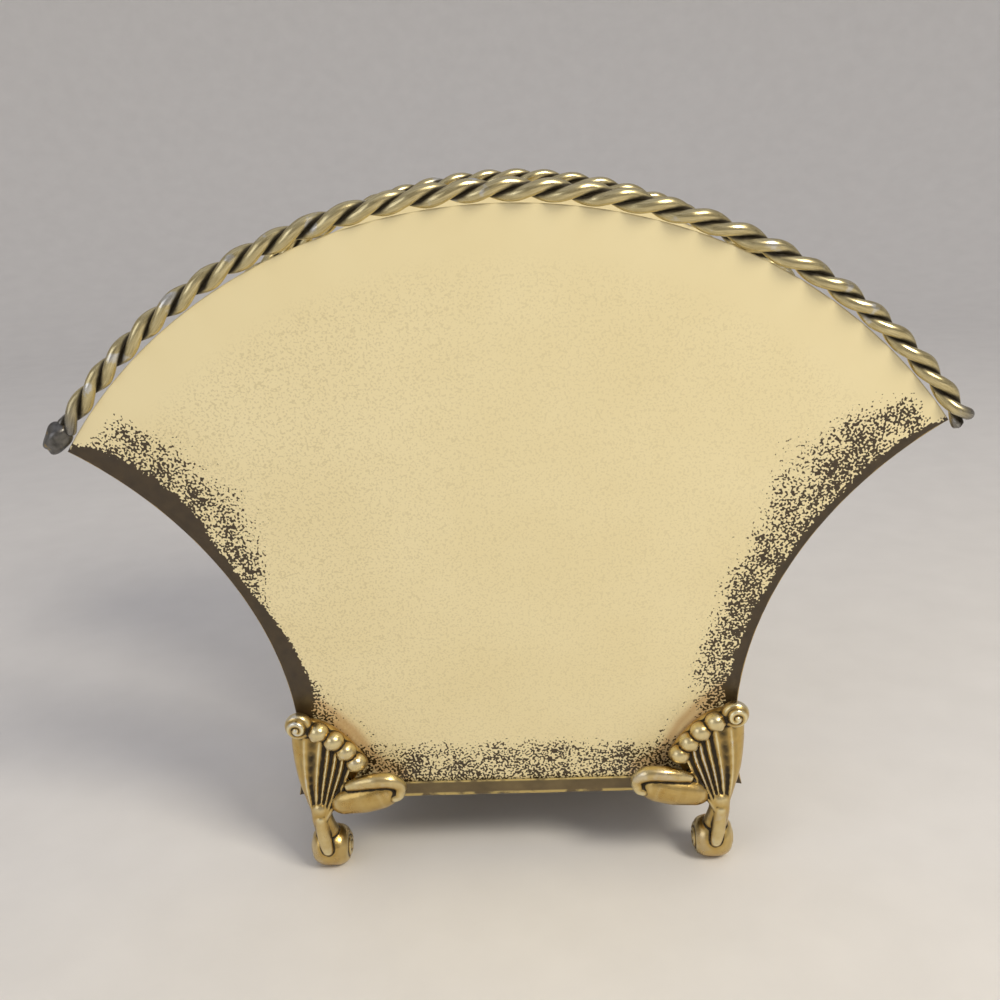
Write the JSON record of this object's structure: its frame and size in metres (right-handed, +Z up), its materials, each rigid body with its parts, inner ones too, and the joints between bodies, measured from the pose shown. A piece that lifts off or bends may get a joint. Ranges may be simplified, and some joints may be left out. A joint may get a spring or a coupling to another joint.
{
  "type": "napkin holder",
  "caption": "Fan-shaped painted tinware napkin holder: splayed panels on a floor tray, twisted-wire rope along the arched tops, and cast leaf-and-scroll feet.",
  "frame": {"origin": "on the ground under the middle of the floor tray, which is the bottom centre of the bounding box", "axes": "+X across the fan, its longest extent; +Z up; the decorated front panel faces -Y"},
  "size_m": [0.182, 0.0908, 0.1527],
  "materials": {
    "painted_tin": "satin ivory enamel with olive-brown sponged edges",
    "gilt_wire": "antique gilt, shiny on the crests and dark in the twist",
    "solder": "dark tarnished solder",
    "gilt_casting": "antique gilt casting, brown in the grooves"
  },
  "bodies": {
    "root": {"front_panel": "painted_tin", "rear_panel": "painted_tin", "floor_tray": "painted_tin", "front_wire_a": "gilt_wire", "front_wire_b": "gilt_wire", "rear_wire_a": "gilt_wire", "rear_wire_b": "gilt_wire", "front_solder_bead": "solder", "rear_solder_bead": "solder", "front_left_foot": "gilt_casting", "front_right_foot": "gilt_casting", "rear_left_foot": "gilt_casting", "rear_right_foot": "gilt_casting"}
  },
  "joints": []
}
